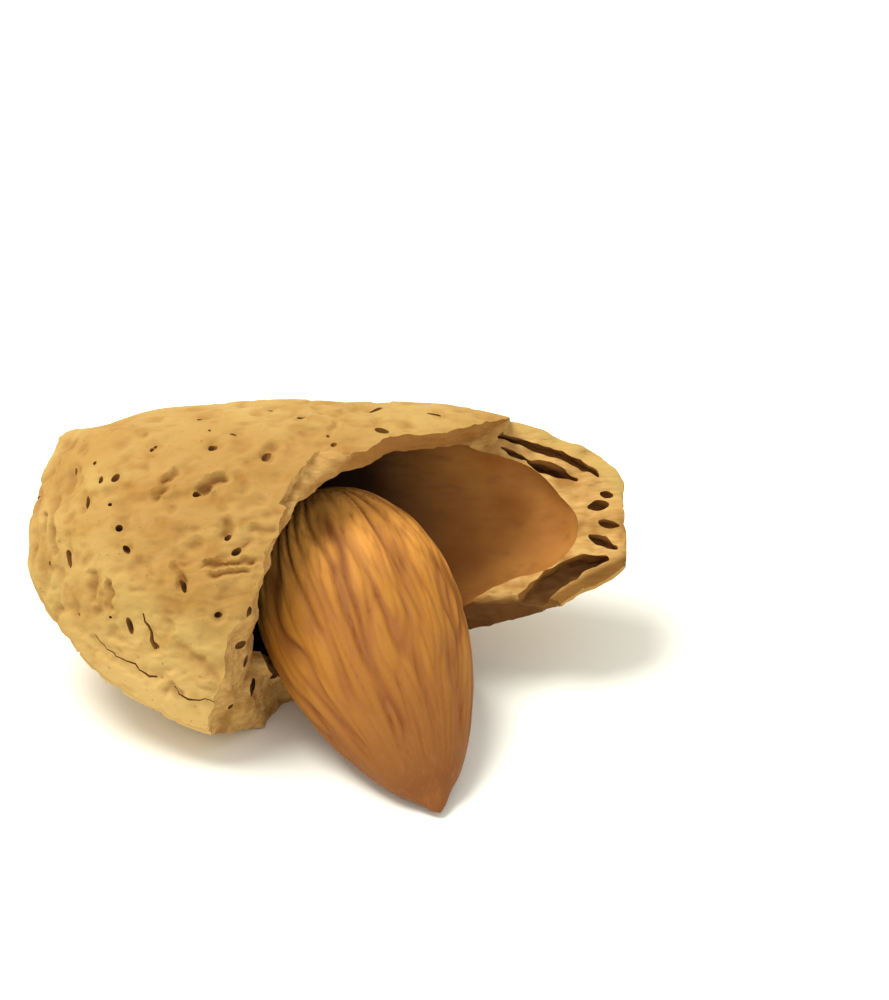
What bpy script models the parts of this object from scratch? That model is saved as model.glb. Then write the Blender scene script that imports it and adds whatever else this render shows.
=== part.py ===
"""An almond cracked open: its pitted shell with one side broken away, and the kernel lying half out of it.

The shell is shaped in the nut's own frame, then turned to lie as it rests. In that frame u runs from the
stem end to the tip, v from the keel to the back, and w out of the broad face, all from the nut's middle.
"""

from math import pi, radians

import bmesh
import bpy
import numpy as np
from mathutils import Euler, Matrix, Vector, noise

MM = 0.001

# The shell's outline in the plane of its seam, as (u, v) in millimetres, read round from the tip.
SEAM_OUTLINE = [
    (19.8, 3.6), (17.4, 6.9), (14.7, 8.7), (11.6, 10.0), (6.5, 10.8), (-1.0, 11.0), (-8.0, 10.6),
    (-13.4, 9.4), (-16.2, 8.0), (-17.9, 3.4), (-17.8, -0.4), (-16.0, -3.9), (-13.0, -7.3),
    (-8.0, -10.3), (-2.0, -11.0), (4.0, -9.4), (9.6, -6.4), (14.4, -2.4), (18.4, 0.2),
]
HALF_LENGTH = 20 * MM
HALF_THICKNESS = 7.6 * MM
LENS_SHARPNESS = 1.12      # 1 is an ellipse; above 1 the sides meet the seam at a sharper edge
TIP_THINNING = 0.16        # share of its thickness that the nut loses from its middle to its tip
KEEL_HEIGHT = 0.7 * MM     # the keel along the front of the seam
BACK_RIDGE = 0.25 * MM     # the lower ridge along its back
KEEL_WIDTH = 1.3 * MM
# The hidden face swells here, so that the nut rests on it steadily.
SWELLING_PLACE = np.array((-2.0, 0.5)) * MM
SWELLING_SIZE = np.array((7.0, 4.2)) * MM
SWELLING_HEIGHT = 1.0 * MM

# The wall: thin over the broad faces, thick along the seam, and thickest in the keel and behind the tip.
FACE_WALL = 1.7 * MM
SEAM_WALL = 2.5 * MM
TIP_WALL = 1.7 * MM
STEM_WALL = 0.9 * MM
KEEL_WALL = 2.2 * MM

LUMP_SIZE = 2.6 * MM
LUMP_STRETCH = 2.0         # lumps are drawn out along the nut
LUMP_HEIGHT = 0.5 * MM

# The pits of the broad face beside the break, as (u, v) in millimetres. Those elsewhere are drawn at random.
FACE_PITS = [
    (-6.8, 5.1), (-7.9, 1.7), (-3.6, 4.3), (-12.5, 0.0), (-12.2, -1.5), (-14.8, 2.4), (-15.5, 5.0),
    (-13.8, 3.6), (-12.6, 3.4), (-13.2, 1.7), (-6.1, -1.2), (-5.5, -2.3), (-8.7, -4.0), (-6.5, -6.0),
    (-12.0, -5.9), (-10.4, -7.0), (-15.7, -1.1), (-10.5, 5.4), (-1.5, 7.8), (-3.5, 8.7), (-7.6, 8.0),
    (-5.6, 6.2), (-9.7, 2.9),
]
FACE_PIT_SIDE = 0.3        # a skin point whose normal leans this far out of the face belongs to it
SCATTERED_PITS = 64
PIT_SPACING = 2.6 * MM
PIT_RADIUS = 0.36 * MM
PIT_DEPTH = 0.9 * MM
PIT_SIDES = 6

# Ends of the channels that run along the keel's wood, as (u, v, w) in millimetres on its snapped face.
KEEL_CHANNELS = [(-5.2, -7.4, 3.4), (-5.0, -7.2, 1.9), (-4.6, -8.6, 0.6), (-3.2, -7.9, 0.5)]

# Where the broad face broke off, as (u, v) in millimetres, from the keel up to the back of the seam.
BREAK_LINE = [
    (-8.2, -14.0), (-7.0, -11.4), (-6.2, -10.6), (-5.6, -9.4), (-5.0, -7.5), (-4.4, -5.4), (-3.4, -1.7),
    (-1.6, 1.8), (0.9, 4.0), (4.7, 6.2), (7.8, 6.9), (11.6, 9.3), (12.6, 12.5),
]
# Where the keel snapped out below it, as (u, v) in millimetres: the kernel lies across this gap.
KEEL_BREAK = [
    (-6.6, -15.0), (-6.3, -11.2), (-5.4, -10.0), (-4.3, -9.2), (-3.8, -7.0), (1.5, -3.6), (5.5, -2.5),
    (8.6, -2.0), (11.7, -2.0), (13.4, -2.4), (13.8, -15.0),
]
KEEL_BREAK_SLANT = 0.35    # how far that break leans towards the stem for each millimetre out of the face
BREAK_REACH = 24 * MM      # past the nut on every side
TIP_BREAK = 18.9 * MM      # the tip itself snapped off here
BREAK_CELL = 0.8 * MM
SPLINTER_SIZE = 1.6 * MM
SPLINTER_REACH = 0.4 * MM

# Splits in the bare face of the seam: each is a line of (u, v), a width and a depth, all in millimetres.
SEAM_SPLITS = [
    ([(17.7, 0.6), (16.1, 0.2), (14.3, -0.9), (12.9, -2.0), (11.5, -2.9)], 1.2, 1.3),
    ([(10.6, 9.0), (12.7, 8.5), (14.7, 7.75), (16.4, 6.85), (17.3, 6.1)], 0.6, 0.9),
    ([(12.8, 7.1), (13.4, 6.9), (14.2, 6.6), (15.0, 6.3), (15.9, 5.9)], 0.8, 1.4),
    ([(11.1, 8.2), (11.9, 7.8), (12.8, 7.2)], 0.4, 0.7),
    ([(16.4, 4.2), (17.1, 4.2), (17.8, 4.1)], 0.7, 0.8),
    ([(17.1, 2.9), (17.8, 2.9), (18.5, 2.8)], 0.5, 0.7),
    ([(16.5, 2.1), (17.4, 1.7), (18.3, 1.2)], 0.7, 0.8),
    ([(17.3, 5.1), (17.7, 5.0), (18.1, 4.8)], 0.5, 0.7),
]
SPLIT_END = 0.3            # width of a split at its ends, as a share of its middle

# How the nut lies: rolled forward on its keel, on a small flat spot under its back half.
SHELL_ROLL = radians(30)
SHELL_PITCH = radians(1.5)
SHELL_YAW = radians(2)
SHELL_CENTRE = Vector((0, 2.9, 7.85)) * MM

# The kernel has slid out through the gap in the keel, and lies with its point on the ground.
KERNEL_POINT = Vector((7.2, -12.4, 0.4)) * MM
KERNEL_ROUND_END = Vector((-0.8, 7.8, 9.8)) * MM
KERNEL_SPIN = radians(8)
KERNEL_HALF_WIDTH = 6.3 * MM
KERNEL_HALF_THICKNESS = 4.2 * MM
KERNEL_TAPER = 0.8         # 0.5 would round its point off, and 1 would draw it out straight-sided
FURROW_DEPTH = 0.2 * MM
KERNEL_CLEARANCE = 0.35 * MM  # to the broken wall that it lies against

SHELL_SUBDIVISIONS = 5
CAVITY_SUBDIVISIONS = 4
KERNEL_SUBDIVISIONS = 5
NOTCH_SUBDIVISIONS = 4
CURVE_STEPS = 12
SEED = 7


def smooth_loop(points):
    """A closed Catmull-Rom curve through the points, in metres."""
    knots = np.array(points) * MM
    before, after, beyond = (np.roll(knots, shift, axis=0) for shift in (1, -1, -2))
    curve = []
    for t in np.arange(CURVE_STEPS) / CURVE_STEPS:
        curve.append(0.5 * (2 * knots + (after - before) * t
                            + (2 * before - 5 * knots + 4 * after - beyond) * t ** 2
                            + (3 * knots - 3 * after + beyond - before) * t ** 3))
    return np.stack(curve, axis=1).reshape(-1, 2)


LOOP = smooth_loop(SEAM_OUTLINE)
LOOP_ANGLES = np.arctan2(LOOP[:, 1], LOOP[:, 0])
LOOP_REACH = np.hypot(LOOP[:, 0], LOOP[:, 1])


def outer_edge(angle):
    """How far the seam's outline lies from the nut's middle, in each direction round it."""
    order = np.argsort(LOOP_ANGLES)
    return np.interp(angle, LOOP_ANGLES[order], LOOP_REACH[order], period=2 * pi)


def cavity_edge(angle):
    """The same for the hollow inside: the outline less the wall along the seam."""
    tipward = np.maximum(0, np.cos(angle))
    stemward = np.maximum(0, -np.cos(angle))
    keelward = np.maximum(0, -np.sin(angle))
    wall = SEAM_WALL + TIP_WALL * tipward ** 6 + STEM_WALL * stemward ** 4 + KEEL_WALL * keelward
    return outer_edge(angle) - wall


def lens(directions, edge, half_thickness):
    """Reach, angle and height of a lens-shaped skin, in each direction from the nut's middle."""
    angle = np.arctan2(directions[:, 1], directions[:, 0])
    lift = np.clip(directions[:, 2], -1, 1)
    reach = np.sqrt(1 - lift ** 2) * edge(angle)
    height = half_thickness * np.sign(lift) * np.abs(lift) ** LENS_SHARPNESS
    height *= 1 - TIP_THINNING * reach * np.cos(angle) / HALF_LENGTH
    return reach, angle, height


def outer_skin(directions):
    reach, angle, height = lens(directions, outer_edge, HALF_THICKNESS)
    keelward = np.clip(0.5 - np.sin(angle), 0, 1)
    ridge = BACK_RIDGE + (KEEL_HEIGHT - BACK_RIDGE) * keelward
    reach = reach + ridge * np.exp(-(height / KEEL_WIDTH) ** 2)
    points = np.column_stack((reach * np.cos(angle), reach * np.sin(angle), height))
    away = (points[:, :2] - SWELLING_PLACE) / SWELLING_SIZE
    swollen = SWELLING_HEIGHT * np.exp(-(away ** 2).sum(axis=1))
    points[:, 2] -= swollen * np.clip(-height / HALF_THICKNESS, 0, 1)
    return points


def cavity_skin(directions):
    reach, angle, height = lens(directions, cavity_edge, HALF_THICKNESS - FACE_WALL)
    return np.column_stack((reach * np.cos(angle), reach * np.sin(angle), height))


def lumps(point):
    """Height of the low lumps of the shell's skin, drawn out along the nut."""
    place = Vector((point.x / LUMP_STRETCH, point.y, point.z)) / LUMP_SIZE
    return LUMP_HEIGHT * noise.noise(place)


def kernel_fullness(along):
    """Width of the kernel, 0 to 1, from its round end at -1 to its point at +1."""
    widest = (KERNEL_TAPER - 0.5) / (KERNEL_TAPER + 0.5)
    peak = np.sqrt(1 - widest) * (1 + widest) ** KERNEL_TAPER
    return np.sqrt(1 + along) * (1 - along) ** KERNEL_TAPER / peak


def furrow(along, around):
    """Depth of the wrinkles, 0 to 1, which run from end to end, wander and fork."""
    place = Vector((along * 2.2, around.x * 4.2, around.y * 4.2))
    wander = 0.35 * noise.noise(place * 0.9 + Vector((9, 4, 2)))
    level = noise.noise(place + Vector((0, wander, wander)))
    return max(0.0, 1 - abs(level) / 0.3)


def kernel_skin(directions, grow=0.0, furrow_depth=FURROW_DEPTH):
    """Points of the kernel's skin, with x along it from its middle to its point, grown all round."""
    along = np.clip(directions[:, 0], -1, 1)
    ring = np.maximum(np.sqrt(1 - along ** 2), 1e-6)
    around = directions[:, 1:] / ring[:, None]
    fullness = kernel_fullness(along)
    depth = np.array([furrow(s, Vector(a)) for s, a in zip(along, around)])
    depth *= furrow_depth * np.minimum(1, fullness * 1.5)
    outward = grow * np.minimum(1, 4 * ring) - depth
    half_length = (KERNEL_POINT - KERNEL_ROUND_END).length / 2 + grow
    across = (KERNEL_HALF_WIDTH * fullness + outward) * around[:, 0]
    through = (KERNEL_HALF_THICKNESS * fullness + outward) * around[:, 1]
    return np.column_stack((half_length * along, across, through))


def ball(subdivisions):
    """A sphere of even triangles, as a bmesh, and the direction of each of its points."""
    bm = bmesh.new()
    bmesh.ops.create_icosphere(bm, subdivisions=subdivisions, radius=1)
    return bm, np.array([v.co.normalized() for v in bm.verts])


def move_points(bm, points):
    for vertex, point in zip(bm.verts, points):
        vertex.co = point
    bm.normal_update()


def as_object(name, bm, placed=Matrix.Identity(4)):
    mesh = bpy.data.meshes.new(name)
    bm.to_mesh(mesh)
    bm.free()
    mesh.transform(placed)
    made = bpy.data.objects.new(name, mesh)
    bpy.context.scene.collection.objects.link(made)
    return made


def apply_modifiers(owner):
    """Puts the evaluated mesh of an object in place of its mesh and modifiers."""
    bpy.context.view_layer.update()
    graph = bpy.context.evaluated_depsgraph_get()
    owner.data = bpy.data.meshes.new_from_object(owner.evaluated_get(graph))
    owner.modifiers.clear()


def cut(target, cutter):
    """Takes the cutter out of the target. The exact solver leaves open edges on these ragged cutters."""
    cutting = target.modifiers.new("cut", "BOOLEAN")
    cutting.operation = "DIFFERENCE"
    cutting.object = cutter
    cutting.solver = "MANIFOLD"
    apply_modifiers(target)
    bpy.data.objects.remove(cutter)


def keep_largest_piece(owner):
    """Drops the scraps that a ragged cut leaves loose."""
    bm = bmesh.new()
    bm.from_mesh(owner.data)
    unseen, pieces = set(bm.verts), []
    while unseen:
        edge, piece = [unseen.pop()], set()
        while edge:
            vertex = edge.pop()
            piece.add(vertex)
            near = {e.other_vert(vertex) for e in vertex.link_edges} & unseen
            unseen -= near
            edge.extend(near)
        pieces.append(piece)
    pieces.sort(key=len)
    scraps = [v for piece in pieces[:-1] for v in piece]
    bmesh.ops.delete(bm, geom=scraps, context="VERTS")
    bm.to_mesh(owner.data)
    bm.free()


def splinter(owner):
    """Roughens a cutter, so that what it cuts looks snapped and not sawn."""
    for vertex in owner.data.vertices:
        place = vertex.co / SPLINTER_SIZE
        shift = noise.noise_vector(place) + 0.5 * noise.noise_vector(place * 2.3)
        vertex.co += shift * SPLINTER_REACH


def block(bm, outline, bottom, top):
    """A straight-sided block on an outline of (u, v) in millimetres."""
    face = bm.faces.new([bm.verts.new((u * MM, v * MM, bottom)) for u, v in outline])
    lifted = bmesh.ops.extrude_face_region(bm, geom=[face])
    upper = [g for g in lifted["geom"] if isinstance(g, bmesh.types.BMVert)]
    bmesh.ops.translate(bm, verts=upper, vec=(0, 0, top - bottom))


def break_cutter():
    """All that broke off: the broad face beyond the break line, down to the seam, and the tip."""
    bm = bmesh.new()
    end = BREAK_REACH / MM
    block(bm, BREAK_LINE + [(end, BREAK_LINE[-1][1]), (end, BREAK_LINE[0][1])], 0, 2 * HALF_THICKNESS)
    front = set(bm.verts)
    block(bm, KEEL_BREAK, -2 * HALF_THICKNESS, 2 * HALF_THICKNESS)
    for vertex in set(bm.verts) - front:
        vertex.co.x -= KEEL_BREAK_SLANT * vertex.co.z
    tip = bmesh.ops.create_cube(bm, size=2 * BREAK_REACH)["verts"]
    bmesh.ops.translate(bm, verts=tip, vec=(TIP_BREAK + BREAK_REACH, 0, 0))
    bmesh.ops.recalc_face_normals(bm, faces=bm.faces)
    cutter = as_object("break", bm)
    grid = cutter.modifiers.new("grid", "REMESH")
    grid.mode = "VOXEL"
    grid.voxel_size = BREAK_CELL
    apply_modifiers(cutter)
    splinter(cutter)
    return cutter


def split_cutter():
    """The splits that run along the bare face of the seam, each narrowing towards its ends."""
    bm = bmesh.new()
    for line, width, depth in SEAM_SPLITS:
        middle = np.array(line)
        ahead = np.gradient(middle, axis=0)
        side = np.column_stack((-ahead[:, 1], ahead[:, 0])) / np.hypot(*ahead.T)[:, None]
        swell = np.sin(np.linspace(0, pi, len(middle)))
        half = side * (width / 2 * (SPLIT_END + (1 - SPLIT_END) * swell))[:, None]
        outline = [*(middle + half), *(middle - half)[::-1]]
        block(bm, outline, -depth * MM, HALF_THICKNESS)
    bmesh.ops.recalc_face_normals(bm, faces=bm.faces)
    return as_object("splits", bm)


def pit_places(skin, normals):
    """Where the pits lie and which way they face: those given, and others at random, none close together."""
    draw = np.random.default_rng(SEED)
    given = np.array(FACE_PITS) * MM
    chosen = []
    for place in given:
        offsets = np.hypot(*(skin[:, :2] - place).T)
        offsets[normals[:, 2] < 0] = np.inf
        chosen.append(int(np.argmin(offsets)))
    wanted = len(chosen) + SCATTERED_PITS
    for index in draw.permutation(len(skin)):
        if len(chosen) == wanted:
            break
        on_given_face = normals[index, 2] > FACE_PIT_SIDE and skin[index, 0] < 0
        apart = all(np.linalg.norm(skin[index] - skin[other]) > PIT_SPACING for other in chosen)
        if apart and not on_given_face:
            chosen.append(int(index))
    places = [(Vector(skin[i]), Vector(normals[i])) for i in chosen]
    return places + [(Vector(place) * MM, Vector((1, 0, 0))) for place in KEEL_CHANNELS]


def pit_cutter(places):
    """A slim cone for each pit, sunk into the skin with its wide end outside."""
    draw = np.random.default_rng(SEED)
    bm = bmesh.new()
    for point, normal in places:
        turn = normal.to_track_quat("Z", "X").to_matrix().to_4x4()
        size = draw.uniform(0.75, 1.3)
        bmesh.ops.create_cone(bm, cap_ends=True, segments=PIT_SIDES, radius1=PIT_RADIUS * size * 0.6,
                              radius2=PIT_RADIUS * size * 1.3, depth=2 * PIT_DEPTH,
                              matrix=Matrix.Translation(point) @ turn)
    return as_object("pits", bm)


def ground_cutter():
    """All that would lie under the surface that the nut rests on."""
    bm = bmesh.new()
    bmesh.ops.create_cube(bm, size=2 * BREAK_REACH)
    bmesh.ops.translate(bm, verts=bm.verts, vec=(0, 0, -BREAK_REACH))
    return as_object("ground", bm)


def kernel_pose():
    axis = (KERNEL_POINT - KERNEL_ROUND_END).normalized()
    upright = Vector((0, 0, 1))
    face = (upright - axis * upright.dot(axis)).normalized()
    side = face.cross(axis)
    turn = Matrix((axis, side, face)).transposed().to_4x4()
    spin = Matrix.Rotation(KERNEL_SPIN, 4, "X")
    return Matrix.Translation((KERNEL_POINT + KERNEL_ROUND_END) / 2) @ turn @ spin


def paint(owner, colour, roughness):
    material = bpy.data.materials.new(owner.name)
    material.use_nodes = True
    surface = material.node_tree.nodes["Principled BSDF"]
    surface.inputs["Base Color"].default_value = (*colour, 1)
    surface.inputs["Roughness"].default_value = roughness
    owner.data.materials.clear()
    owner.data.materials.append(material)


def make_shell():
    bm, directions = ball(SHELL_SUBDIVISIONS)
    move_points(bm, outer_skin(directions))
    for vertex in bm.verts:
        vertex.co += vertex.normal * lumps(vertex.co)
    bm.normal_update()
    places = pit_places(np.array([v.co for v in bm.verts]), np.array([v.normal for v in bm.verts]))
    shell = as_object("shell", bm)
    hollow, directions = ball(CAVITY_SUBDIVISIONS)
    move_points(hollow, cavity_skin(directions))
    cut(shell, as_object("hollow", hollow))
    cut(shell, break_cutter())
    cut(shell, split_cutter())
    cut(shell, pit_cutter(places))
    turn = Euler((SHELL_ROLL, SHELL_PITCH, SHELL_YAW), "XYZ").to_matrix().to_4x4()
    shell.data.transform(Matrix.Translation(SHELL_CENTRE) @ turn)
    notch, directions = ball(NOTCH_SUBDIVISIONS)
    move_points(notch, kernel_skin(directions, grow=KERNEL_CLEARANCE, furrow_depth=0))
    cut(shell, as_object("notch", notch, kernel_pose()))
    cut(shell, ground_cutter())
    keep_largest_piece(shell)
    paint(shell, (0.62, 0.40, 0.17), 0.75)


def make_kernel():
    bm, directions = ball(KERNEL_SUBDIVISIONS)
    move_points(bm, kernel_skin(directions))
    kernel = as_object("kernel", bm, kernel_pose())
    cut(kernel, ground_cutter())
    paint(kernel, (0.42, 0.19, 0.06), 0.5)


for leftover in list(bpy.data.objects):
    bpy.data.objects.remove(leftover)
noise.seed_set(SEED)       # unseeded, noise_vector would splinter the break another way in each run
make_shell()
make_kernel()
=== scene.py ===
"""An almond cracked open, dressed: a pitted shell with one side broken away, and a kernel half out of it.

The shell is shaped in the nut's own frame, then turned to lie as it rests. In that frame u runs from the
stem end to the tip, v from the keel to the back, and w out of the broad face, all from the nut's middle.
"""

from math import cos, pi, radians, sin

import bpy
import numpy as np
from mathutils import Euler, Matrix, Vector, noise


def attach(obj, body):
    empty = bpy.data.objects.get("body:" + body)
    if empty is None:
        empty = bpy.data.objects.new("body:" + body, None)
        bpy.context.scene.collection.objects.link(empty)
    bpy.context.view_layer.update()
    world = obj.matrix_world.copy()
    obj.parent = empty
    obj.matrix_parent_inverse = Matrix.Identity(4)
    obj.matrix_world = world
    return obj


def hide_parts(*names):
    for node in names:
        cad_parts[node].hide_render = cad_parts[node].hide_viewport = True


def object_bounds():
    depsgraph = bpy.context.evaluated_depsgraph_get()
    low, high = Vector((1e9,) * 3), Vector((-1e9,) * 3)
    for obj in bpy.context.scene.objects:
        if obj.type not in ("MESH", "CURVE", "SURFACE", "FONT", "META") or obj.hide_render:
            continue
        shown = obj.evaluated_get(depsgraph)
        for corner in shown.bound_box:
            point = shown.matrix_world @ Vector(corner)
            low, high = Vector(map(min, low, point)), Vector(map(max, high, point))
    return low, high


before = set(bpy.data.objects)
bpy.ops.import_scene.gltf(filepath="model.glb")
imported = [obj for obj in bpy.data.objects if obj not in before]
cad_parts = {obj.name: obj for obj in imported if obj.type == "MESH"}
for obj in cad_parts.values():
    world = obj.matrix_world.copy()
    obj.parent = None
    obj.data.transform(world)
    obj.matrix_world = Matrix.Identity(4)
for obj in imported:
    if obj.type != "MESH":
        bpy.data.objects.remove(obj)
cad_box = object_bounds()


# The shell is the nut's hard coat, grown as one piece of pale, corky wood round the kernel. Its skin is dry
# and lumpy with deep dark pits, its wall thickens to a rim along the seam, and one side has snapped off,
# so the fibrous wood of the break shows all round the smooth brown hollow.
MM = 0.001

# The outline in the plane of the seam, as (u, v) in millimetres, read round from the tip.
SEAM_OUTLINE = [
    (19.8, 3.6), (17.3, 7.4), (14.7, 8.8), (11.6, 10.0), (6.5, 10.8), (-1.0, 11.0), (-8.0, 10.6),
    (-13.4, 9.4), (-16.2, 8.0), (-17.9, 3.4), (-17.8, -0.4), (-16.0, -3.9), (-13.0, -7.3),
    (-8.0, -10.3), (-2.0, -11.0), (4.0, -9.4), (9.6, -6.4), (14.4, -2.4), (18.4, 0.2),
]
CURVE_STEPS = 12
HALF_LENGTH = 20 * MM
HALF_THICKNESS = 7.6 * MM
LENS_SHARPNESS = 1.12      # 1 is an ellipse; above 1 the sides meet the seam at a sharper edge
TIP_THINNING = 0.16
KEEL_HEIGHT = 0.7 * MM
BACK_RIDGE = 0.25 * MM
KEEL_WIDTH = 1.3 * MM
# The hidden face swells here, so that the nut rests on it steadily.
SWELLING_PLACE = np.array((-2.0, 0.5)) * MM
SWELLING_SIZE = np.array((7.0, 4.2)) * MM
SWELLING_HEIGHT = 1.0 * MM
FACE_WALL = 1.7 * MM
SEAM_WALL = 2.5 * MM
TIP_WALL = 1.7 * MM
STEM_WALL = 0.9 * MM
KEEL_WALL = 2.2 * MM
# The wall is thicker still in the corner under the kernel, between the stem and the keel.
CORNER_WALL = 1.5 * MM
CORNER_ANGLE = radians(-125)
CORNER_SPREAD = radians(17)
# The seam ends in a low stub beside the scar of the stem.
STUB_ANGLE = radians(151)
STUB_SPREAD = radians(3.5)
STUB_HEIGHT = 0.6 * MM


def smooth_loop(points):
    """A closed Catmull-Rom curve through the points, in metres."""
    knots = np.array(points) * MM
    before, after, beyond = (np.roll(knots, shift, axis=0) for shift in (1, -1, -2))
    curve = []
    for t in np.arange(CURVE_STEPS) / CURVE_STEPS:
        curve.append(0.5 * (2 * knots + (after - before) * t
                            + (2 * before - 5 * knots + 4 * after - beyond) * t ** 2
                            + (3 * knots - 3 * after + beyond - before) * t ** 3))
    return np.stack(curve, axis=1).reshape(-1, 2)


LOOP = smooth_loop(SEAM_OUTLINE)
LOOP_ANGLES = np.arctan2(LOOP[:, 1], LOOP[:, 0])
LOOP_REACH = np.hypot(LOOP[:, 0], LOOP[:, 1])


def outer_edge(angle):
    """How far the seam's outline lies from the nut's middle, in each direction round it."""
    order = np.argsort(LOOP_ANGLES)
    return np.interp(angle, LOOP_ANGLES[order], LOOP_REACH[order], period=2 * pi)


def cavity_edge(angle):
    """The same for the hollow inside: the outline less the wall along the seam."""
    tipward = np.maximum(0, np.cos(angle))
    stemward = np.maximum(0, -np.cos(angle))
    keelward = np.maximum(0, -np.sin(angle))
    wall = SEAM_WALL + TIP_WALL * tipward ** 6 + STEM_WALL * stemward ** 4 + KEEL_WALL * keelward
    corner = CORNER_WALL * np.exp(-((angle - CORNER_ANGLE) / CORNER_SPREAD) ** 2)
    return outer_edge(angle) - wall - corner


def lens(directions, edge, half_thickness):
    """Reach, angle and height of a lens-shaped skin, in each direction from the nut's middle."""
    angle = np.arctan2(directions[:, 1], directions[:, 0])
    lift = np.clip(directions[:, 2], -1, 1)
    reach = np.sqrt(1 - lift ** 2) * edge(angle)
    height = half_thickness * np.sign(lift) * np.abs(lift) ** LENS_SHARPNESS
    height *= 1 - TIP_THINNING * reach * np.cos(angle) / HALF_LENGTH
    return reach, angle, height


def outer_skin(directions):
    reach, angle, height = lens(directions, outer_edge, HALF_THICKNESS)
    keelward = np.clip(0.5 - np.sin(angle), 0, 1)
    ridge = BACK_RIDGE + (KEEL_HEIGHT - BACK_RIDGE) * keelward
    ridge += STUB_HEIGHT * np.exp(-((angle - STUB_ANGLE) / STUB_SPREAD) ** 2)
    reach = reach + ridge * np.exp(-(height / KEEL_WIDTH) ** 2)
    points = np.column_stack((reach * np.cos(angle), reach * np.sin(angle), height))
    away = (points[:, :2] - SWELLING_PLACE) / SWELLING_SIZE
    swollen = SWELLING_HEIGHT * np.exp(-(away ** 2).sum(axis=1))
    points[:, 2] -= swollen * np.clip(-height / HALF_THICKNESS, 0, 1)
    return points


def cavity_skin(directions):
    reach, angle, height = lens(directions, cavity_edge, HALF_THICKNESS - FACE_WALL)
    return np.column_stack((reach * np.cos(angle), reach * np.sin(angle), height))


def read_points(piece, what="co"):
    """Where each point of a piece lies or, with "normal", which way it faces."""
    flat = np.empty(3 * len(piece.data.vertices))
    piece.data.vertices.foreach_get(what, flat)
    return flat.reshape(-1, 3)


def write_points(piece, points):
    piece.data.vertices.foreach_set("co", points.ravel())
    piece.data.update()


def mark_points(piece, name, values):
    """Keeps a number for each point, which a material reads by this name."""
    kept = piece.data.attributes.get(name) or piece.data.attributes.new(name, "FLOAT", "POINT")
    kept.data.foreach_set("value", np.asarray(values, np.float32))


def pick(piece):
    """Makes one piece the only one selected, and the active one."""
    bpy.ops.object.select_all(action="DESELECT")
    piece.select_set(True)
    bpy.context.view_layer.objects.active = piece


def add_ball(name, subdivisions, skin, material):
    """A ball of even triangles, with its points moved out to a skin."""
    bpy.ops.object.select_all(action="DESELECT")
    bpy.ops.mesh.primitive_ico_sphere_add(subdivisions=subdivisions, radius=1)
    ball = bpy.context.object
    ball.name = ball.data.name = name
    ball.data.materials.append(material)
    points = read_points(ball)
    write_points(ball, skin(points / np.linalg.norm(points, axis=1)[:, None]))
    return ball


def add_mesh(name, points, faces, material, rise=0.0):
    """A piece from its points and faces, drawn up where it has a rise, with its faces turned outwards."""
    mesh = bpy.data.meshes.new(name)
    mesh.from_pydata(points, [], faces)
    mesh.materials.append(material)
    piece = bpy.data.objects.new(name, mesh)
    bpy.context.scene.collection.objects.link(piece)
    pick(piece)
    bpy.ops.object.mode_set(mode="EDIT")
    bpy.ops.mesh.select_all(action="SELECT")
    if rise:
        bpy.ops.mesh.extrude_region_move(TRANSFORM_OT_translate={"value": (0, 0, rise)})
        bpy.ops.mesh.select_all(action="SELECT")
    bpy.ops.mesh.normals_make_consistent(inside=False)
    bpy.ops.object.mode_set(mode="OBJECT")
    return piece


def add_block(name, outline, bottom, top, material):
    """A straight-sided block on an outline of (u, v) in millimetres."""
    points = [(u * MM, v * MM, bottom) for u, v in outline]
    return add_mesh(name, points, [range(len(outline))], material, rise=top - bottom)


def refine(piece, chosen):
    """Cuts each chosen face in four, so that it can carry finer relief."""
    pick(piece)
    bpy.ops.object.mode_set(mode="EDIT")
    bpy.ops.mesh.select_mode(type="FACE")
    bpy.ops.mesh.select_all(action="DESELECT")
    bpy.ops.object.mode_set(mode="OBJECT")
    piece.data.polygons.foreach_set("select", chosen)
    bpy.ops.object.mode_set(mode="EDIT")
    bpy.ops.mesh.subdivide(number_cuts=1)
    bpy.ops.object.mode_set(mode="OBJECT")


def join(pieces):
    pick(pieces[0])
    for other in pieces[1:]:
        other.select_set(True)
    bpy.ops.object.join()
    return pieces[0]


def cut_away(piece, cutter):
    """Takes the cutter out of the piece, which takes the cutter's material on the cut."""
    pick(piece)
    cutting = piece.modifiers.new("cut", "BOOLEAN")
    cutting.operation = "DIFFERENCE"
    cutting.object = cutter
    cutting.solver = "MANIFOLD"
    cutting.material_mode = "TRANSFER"
    bpy.ops.object.modifier_apply(modifier=cutting.name)
    bpy.data.objects.remove(cutter)


def linear(hex_colour):
    """A colour as sRGB hex, turned linear for a shader."""
    channels = [int(hex_colour[i:i + 2], 16) / 255 for i in (0, 2, 4)]
    return [c / 12.92 if c <= 0.04045 else ((c + 0.055) / 1.055) ** 2.4 for c in channels] + [1]


def add_node(tree, kind, settings=None, give=0, **inputs):
    """Adds a node and hands back one of its outputs. An input is a number, an sRGB hex colour or a socket
    to link from, and in_0, in_1 and so on name an input by its place."""
    node = tree.nodes.new("ShaderNode" + kind)
    for name, value in (settings or {}).items():
        setattr(node, name, value)
    for name, value in inputs.items():
        socket = node.inputs[int(name[3:]) if name.startswith("in_") else name.replace("_", " ")]
        if isinstance(value, bpy.types.NodeSocket):
            tree.links.new(value, socket)
        else:
            socket.default_value = linear(value) if isinstance(value, str) else value
    return node.outputs[give]


BLEND = {"data_type": "RGBA"}          # mixes two colours: its inputs 6 and 7, and its output 2
MULTIPLY = {"operation": "MULTIPLY"}


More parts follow.
